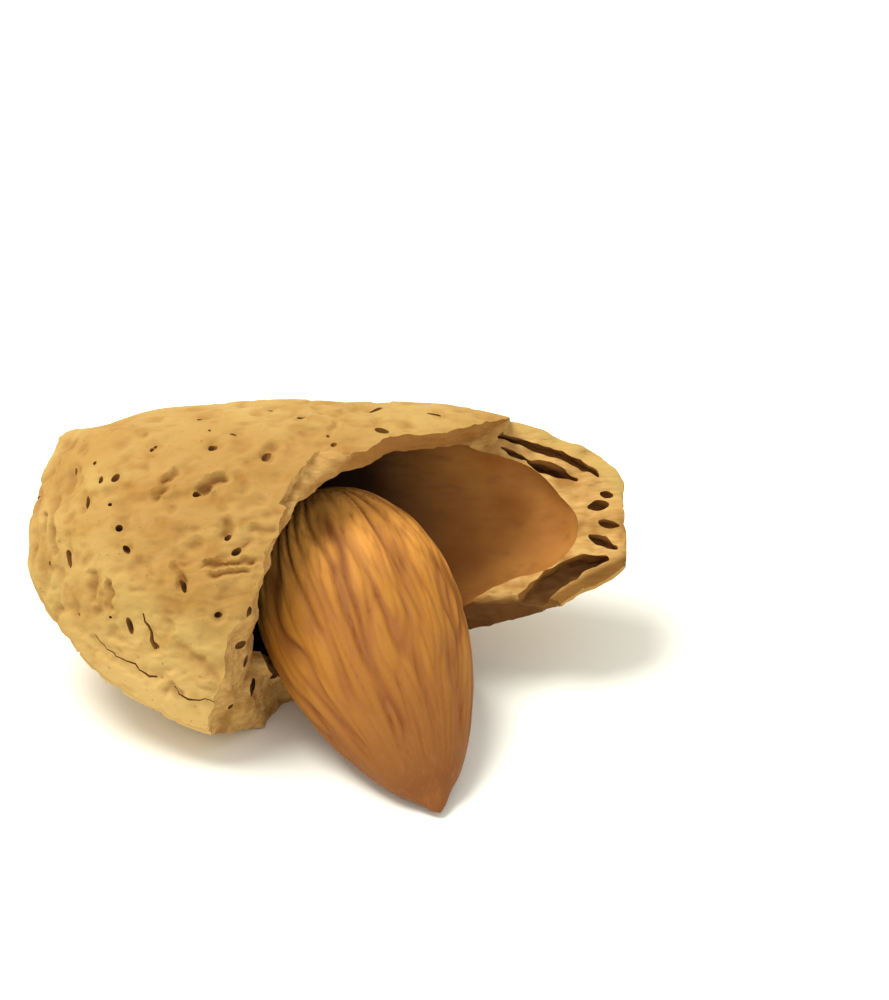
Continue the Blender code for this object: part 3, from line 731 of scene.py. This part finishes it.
def split_cutter():
    """The splits that run along the bare face of the seam, each narrowing towards its ends."""
    splits = []
    for line, width, depth in SEAM_SPLITS:
        steps = np.linspace(0, len(line) - 1, 4 * len(line))
        middle = np.column_stack([np.interp(steps, range(len(line)), side) for side in zip(*line)])
        ahead = np.gradient(middle, axis=0)
        side = np.column_stack((-ahead[:, 1], ahead[:, 0])) / np.hypot(*ahead.T)[:, None]
        swell = np.sin(np.linspace(0, pi, len(middle)))
        half = side * (width / 2 * (SPLIT_END + (1 - SPLIT_END) * swell))[:, None]
        outline = [*(middle + half), *(middle - half)[::-1]]
        splits.append(add_block("split", outline, -depth * MM, SPLIT_TOP, PIT_WOOD_SHADED))
    cutter = join(splits)
    even_out(cutter, SPLIT_CELL)
    points = read_points(cutter)
    for index, point in enumerate(points):
        fibre = Vector((point[0] / SPLIT_FIBRE_STRETCH, point[1], point[2])) / SPLIT_FIBRE_SIZE
        points[index] += noise.noise_vector(fibre) * SPLIT_FIBRE_REACH
    write_points(cutter, points)
    # The split's wall is painted darker with depth, a painted shade.
    mark_points(cutter, "sunk", np.clip(-points[:, 2] / SPLIT_SHADE_FROM, 0, 1))
    return cutter


# The kernel has slid out through the gap in the keel, and lies with its point on the ground.
KERNEL_POINT = Vector((7.2, -12.4, 0.4)) * MM
KERNEL_ROUND_END = Vector((-0.8, 7.8, 9.8)) * MM
KERNEL_SPIN = radians(8)
KERNEL_HALF_WIDTH = 6.3 * MM
KERNEL_HALF_THICKNESS = 4.2 * MM
KERNEL_TAPER = 0.8
KERNEL_CLEARANCE = 0.35 * MM
GROUND_SIZE = 50 * MM
CUT_MERGE = 0.0005 * MM        # points nearer than this become one
CAVITY_UNEVEN_SIZE = 2.2 * MM
CAVITY_UNEVEN = 0.28 * MM
BEND_ANGLE = radians(40)       # edges that turn more than this stay sharp


def kernel_fullness(along):
    """Width of the kernel, 0 to 1, from its round end at -1 to its point at +1."""
    widest = (KERNEL_TAPER - 0.5) / (KERNEL_TAPER + 0.5)
    peak = np.sqrt(1 - widest) * (1 + widest) ** KERNEL_TAPER
    return np.sqrt(1 + along) * (1 - along) ** KERNEL_TAPER / peak


def kernel_skin(directions, grow=0.0, relief=0.0):
    """Points of the kernel's skin, with x along it from its middle to its point, grown all round."""
    along = np.clip(directions[:, 0], -1, 1)
    ring = np.maximum(np.sqrt(1 - along ** 2), 1e-6)
    around = directions[:, 1:] / ring[:, None]
    fullness = kernel_fullness(along)
    outward = grow * np.minimum(1, 4 * ring) - relief
    half_length = (KERNEL_POINT - KERNEL_ROUND_END).length / 2 + grow
    across = (KERNEL_HALF_WIDTH * fullness + outward) * around[:, 0]
    through = (KERNEL_HALF_THICKNESS * fullness + outward) * around[:, 1]
    return np.column_stack((half_length * along, across, through))


def kernel_pose():
    axis = (KERNEL_POINT - KERNEL_ROUND_END).normalized()
    upright = Vector((0, 0, 1))
    face = (upright - axis * upright.dot(axis)).normalized()
    turn = Matrix((axis, face.cross(axis), face)).transposed().to_4x4()
    spin = Matrix.Rotation(KERNEL_SPIN, 4, "X")
    return Matrix.Translation((KERNEL_POINT + KERNEL_ROUND_END) / 2) @ turn @ spin


def ground_cutter(material):
    """All that would lie under the surface that the nut rests on."""
    bpy.ops.object.select_all(action="DESELECT")
    bpy.ops.mesh.primitive_cube_add(size=GROUND_SIZE, location=(0, 0, -GROUND_SIZE / 2))
    ground = bpy.context.object
    bpy.ops.object.transform_apply(location=True)
    ground.data.materials.append(material)
    return ground


def keep_largest(piece):
    """Drops the scraps that a ragged cut leaves loose."""
    pick(piece)
    bpy.ops.object.mode_set(mode="EDIT")
    bpy.ops.mesh.select_all(action="SELECT")
    bpy.ops.mesh.separate(type="LOOSE")
    bpy.ops.object.mode_set(mode="OBJECT")
    parts = sorted(bpy.context.selected_objects, key=lambda part: len(part.data.vertices))
    for scrap in parts[:-1]:
        bpy.data.objects.remove(scrap)
    return parts[-1]


def clean_cuts(piece):
    """Merges points that the cuts left all but together, and takes out those where only two edges meet."""
    pick(piece)
    bpy.ops.object.mode_set(mode="EDIT")
    bpy.ops.mesh.select_mode(type="VERT")
    bpy.ops.mesh.select_all(action="SELECT")
    bpy.ops.mesh.remove_doubles(threshold=CUT_MERGE)
    bpy.ops.mesh.select_all(action="DESELECT")
    bpy.ops.object.mode_set(mode="OBJECT")
    edges = np.empty(2 * len(piece.data.edges), int)
    piece.data.edges.foreach_get("vertices", edges)
    piece.data.vertices.foreach_set("select", np.bincount(edges, minlength=len(piece.data.vertices)) == 2)
    bpy.ops.object.mode_set(mode="EDIT")
    bpy.ops.mesh.dissolve_verts()
    bpy.ops.object.mode_set(mode="OBJECT")


# The skin starts as an even ball. Over the seam and short of the break, where it shows most, its faces are
# cut in four. Then it takes the nut's form, with its lumps first and its dents and marks after.
shell = add_ball("almond_shell", 7, lambda directions: directions, SKIN)
middles = np.array([face.center for face in shell.data.polygons])
u, v, w = outer_skin(middles / np.linalg.norm(middles, axis=1)[:, None]).T / MM
refine(shell, (w > -1) & (v > 1.09 * u - 4.8))
directions = read_points(shell)
write_points(shell, outer_skin(directions / np.linalg.norm(directions, axis=1)[:, None]))
skin, facing = read_points(shell), read_points(shell, "normal")
skin += facing * np.array([lumps(Vector(point)) for point in skin])[:, None]
write_points(shell, skin)
facing = read_points(shell, "normal")
places = pit_places(skin, facing)
soft, marked = np.array([dents(Vector(point)) for point in skin]), mark_depth(skin)
creases = np.where(marked > 0, np.maximum(soft, marked), soft + marked)
write_points(shell, skin - facing * creases[:, None])
# The crease depth, which browns the hollows, partly as painted shade.
mark_points(shell, "hollow", np.clip(creases / FULL_HOLLOW_SHADE, 0, 1))
mark_points(shell, "sunk", np.zeros(len(creases)))

# Out of it come the hollow, all that broke off, and the channels, splits, pits and cracks.
cavity = add_ball("cavity", 6, cavity_skin, LINING)
points = read_points(cavity)
points += [noise.noise_vector(Vector(point) / CAVITY_UNEVEN_SIZE) * CAVITY_UNEVEN for point in points]
write_points(cavity, points)
cut_away(shell, cavity)
cut_away(shell, break_cutter())
cut_away(shell, channel_cutter())
cut_away(shell, split_cutter())
cut_away(shell, pit_cutter(places))
cut_away(shell, crack_cutter(skin, facing))

# The bare face of the seam is pale along its outer edge, on the side of the back.
PALE_EDGE = 1.0 * MM
PALE_EDGE_FADE = 0.4 * MM
SEAM_FACE_FADE = 0.3 * MM
points = read_points(shell)
inward = outer_edge(np.arctan2(points[:, 1], points[:, 0])) - np.hypot(points[:, 0], points[:, 1])
near_skin = np.clip((PALE_EDGE - inward) / PALE_EDGE_FADE, 0, 1)
on_seam_face = np.clip(1.5 - np.abs(points[:, 2]) / SEAM_FACE_FADE, 0, 1)
backward = np.clip(points[:, 1] / MM - 1, 0, 1)
mark_points(shell, "skinward", near_skin * on_seam_face * backward)

# It is laid down as it rests, notched where the kernel passes, and flattened where it stands.
rested = Euler((SHELL_ROLL, SHELL_PITCH, SHELL_YAW), "XYZ").to_matrix().to_4x4()
shell.data.transform(Matrix.Translation(SHELL_CENTRE) @ rested)
notch = add_ball("notch", 5, lambda directions: kernel_skin(directions, grow=KERNEL_CLEARANCE), WOOD)
notch.data.transform(kernel_pose())
cut_away(shell, notch)
cut_away(shell, ground_cutter(SKIN))
shell = keep_largest(shell)
shell.name = shell.data.name = "almond_shell"
write_points(shell, np.clip(read_points(shell), cad_box[0], cad_box[1]))
clean_cuts(shell)
pick(shell)
bpy.ops.object.shade_smooth_by_angle(angle=BEND_ANGLE)
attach(shell, "root")
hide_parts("shell")


# The kernel is the seed itself, a flattened drop in a thin papery brown skin. It dried inside the shell, so
# the skin has drawn into long furrows that run from the round end to the point, pale on their ridges.
FURROW_DEPTH = 0.25 * MM
SMOOTH_POINT = 0.85            # the furrows die out before the point, at this share of the half length
SEAM_LINE_WIDTH = 0.07         # of the line on the kernel's edge, as a share of its half thickness
WAIST_DEPTH = 0.2 * MM         # the sides draw in a little just before the point
WAIST_PLACE = 0.9              # here, and over this length, as shares of the half length
WAIST_SPREAD = 0.06


def furrows(directions):
    """Depth, 0 to 1, of the furrows, which run lengthwise, wander, fork and stop, and of the line on one
    edge, where the seed's two halves meet."""
    along = np.clip(directions[:, 0], -1, 1)
    ring = np.maximum(np.sqrt(1 - along ** 2), 1e-6)
    around = directions[:, 1:] / ring[:, None]
    depths = []
    for s, (across, through) in zip(along, around):
        wander = noise.noise_vector(Vector((s * 2.6, across * 1.8, through * 1.8))) * 0.6
        place = Vector((s * 0.95, across * 5.0 + wander.y, through * 3.6 + wander.z))
        strength = min(1.0, max(0.35, 0.8 + 1.5 * noise.noise(place * 0.8 + Vector((7, 0, 0)))))
        broad = max(0.0, 1 - abs(noise.noise(place)) / 0.24) * strength
        place = Vector((s * 2.2 + 3, across * 9.0 + wander.y, through * 6.5 + wander.z))
        fine = max(0.0, 1 - abs(noise.noise(place)) / 0.3)
        fading = min(1.0, max(0.0, (SMOOTH_POINT - s) / 0.3)) * min(1.0, 0.4 + (s + 1) * 4)
        line = np.exp(-(through / SEAM_LINE_WIDTH) ** 2) * (across > 0) * (s > 0) * (s < 0.9)
        depths.append(max((0.72 * broad + 0.28 * fine) * fading, 0.7 * line))
    return np.array(depths)


# Almond seed skin: papery and dusty, so its shine is soft. It is rust brown, dark in the furrows, darker at
# the point, partly its own colour and partly painted shade, and paler on the ridges; at the round end it is
# painted paler, a painted light where the shell's roof shades it.
SEED_SKIN, tree, surface = new_material("almond seed skin", roughness=0.6, specular=0.2)
pose = kernel_pose()
place = add_node(tree, "TexCoord", give="Object")
place = add_node(tree, "Mapping", {"vector_type": "TEXTURE"}, Vector=place, Location=pose.translation,
                 Rotation=pose.to_euler())
cloud = grain(tree, place, 4.0, stretch=(2, 1, 1))
cloud = add_node(tree, "MapRange", Value=cloud, From_Min=0.35, From_Max=0.65)
colour = add_node(tree, "Mix", BLEND, 2, Factor=cloud, in_6="A66A20", in_7="B57A28")
along = add_node(tree, "SeparateXYZ", give="X", Vector=place)
# Darker towards the point: partly the skin's own colour, partly painted shade.
point_tone_and_shade = add_node(tree, "MapRange", Value=along, From_Min=-2 * MM, From_Max=10 * MM)
colour = add_node(tree, "Mix", BLEND, 2, Factor=point_tone_and_shade, in_6=colour, in_7="804B1F")
# Painted light: the round end, shaded by the shell's roof, is painted paler.
round_end_light = add_node(tree, "MapRange", Value=along, From_Min=-2 * MM, From_Max=-9 * MM)
colour = add_node(tree, "Mix", BLEND, 2, Factor=round_end_light, in_6=colour, in_7="F6AC50")
creased = add_node(tree, "Attribute", {"attribute_name": "furrow"}, "Fac")
creased = add_node(tree, "MapRange", Value=creased, From_Min=0.05, From_Max=1.0)
colour = add_node(tree, "Mix", BLEND, 2, Factor=creased, in_6=colour, in_7="7C441A")
streaks = grain(tree, place, 0.4, detail=4, stretch=(6, 1, 1))
streaks = add_node(tree, "MapRange", Value=streaks, From_Min=0.5, From_Max=0.85)
colour = add_node(tree, "Mix", BLEND, 2, Factor=streaks, in_6=colour, in_7="93592A")
tree.links.new(colour, surface.inputs["Base Color"])
dust = grain(tree, place, 0.25, detail=5, stretch=(3, 1, 1))
dust = add_node(tree, "Bump", Height=dust, Distance=0.05 * MM, Strength=1.0)
tree.links.new(dust, surface.inputs["Normal"])

kernel = add_ball("almond_kernel", 7, lambda directions: directions, SEED_SKIN)
directions = read_points(kernel)
creases = furrows(directions)
along = np.clip(directions[:, 0], -1, 1)
relief = FURROW_DEPTH * creases * np.minimum(1, kernel_fullness(along) * 1.5)
relief += WAIST_DEPTH * np.exp(-((along - WAIST_PLACE) / WAIST_SPREAD) ** 2)
write_points(kernel, kernel_skin(directions, relief=relief))
mark_points(kernel, "furrow", creases)
kernel.data.transform(kernel_pose())
cut_away(kernel, ground_cutter(SEED_SKIN))
write_points(kernel, np.clip(read_points(kernel), cad_box[0], cad_box[1]))
pick(kernel)
bpy.ops.object.shade_smooth_by_angle(angle=BEND_ANGLE)
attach(kernel, "root")
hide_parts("kernel")


# The floor is a plain sheet of white card, matte, with the faint unevenness of pressed paper. The nut lies
# loose on it, and the sheet lies a hair lower, so that the two don't share a surface.
FLOOR_SIZE = 4                 # in metres, so that its edges stay out of view
FLOOR_DROP = 0.02 * MM
CARD, tree, surface = new_material("white card", roughness=0.9, specular=0.1)
fleck = grain(tree, add_node(tree, "TexCoord", give="Object"), 8.0)
colour = add_node(tree, "Mix", BLEND, 2, Factor=fleck, in_6="F6F6EC", in_7="F8F8EF")
tree.links.new(colour, surface.inputs["Base Color"])
bpy.ops.object.select_all(action="DESELECT")
bpy.ops.mesh.primitive_plane_add(size=FLOOR_SIZE, location=(0, 0, -FLOOR_DROP))
floor = bpy.context.object
floor.name = "floor"
bpy.ops.object.transform_apply(location=True)
floor.data.materials.append(CARD)


# The light is a studio's: bright white walls all round, and one broad, soft lamp on a stand, high on the
# left and a little behind, which throws the faint shadow to the right and the front.
WALL_BRIGHTNESS = 0.9
LAMP_PLACE = Vector((-200, 60, 500)) * MM
LAMP_AIM = Vector((0, 0, 5)) * MM
LAMP_SIZE = 300 * MM
LAMP_POWER = 2.8
world = bpy.data.worlds.new("studio")
bpy.context.scene.world = world
world.use_nodes = True
walls = world.node_tree.nodes["Background"]
walls.inputs["Color"].default_value = linear("FFFFFC")
walls.inputs["Strength"].default_value = WALL_BRIGHTNESS
bpy.ops.object.select_all(action="DESELECT")
bpy.ops.object.light_add(type="AREA", location=LAMP_PLACE)
lamp = bpy.context.object
lamp.name = "key"
lamp.data.shape = "DISK"
lamp.data.size = LAMP_SIZE
lamp.data.energy = LAMP_POWER
lamp.data.color = linear("FFFEF8")[:3]
lamp.rotation_euler = (LAMP_AIM - lamp.location).to_track_quat("-Z", "Y").to_euler()


# The camera stands in front of the nut and looks down on it at 35 degrees, as the photograph does. It has a
# long lens and stands well back, so the nut shows with hardly any foreshortening.
CAMERA_PLACE = (0.00746875, -0.27971275, 0.21073517)
CAMERA_TURN = radians(55)      # up from straight down
LENS = 201.6                   # its focal length and the sensor's width, in millimetres
SENSOR_WIDTH = 36
bpy.ops.object.camera_add(location=CAMERA_PLACE, rotation=(CAMERA_TURN, 0, 0))
camera = bpy.context.object
camera.data.lens = LENS
camera.data.sensor_width = SENSOR_WIDTH
bpy.context.scene.camera = camera
bpy.context.scene.view_settings.view_transform = "Standard"
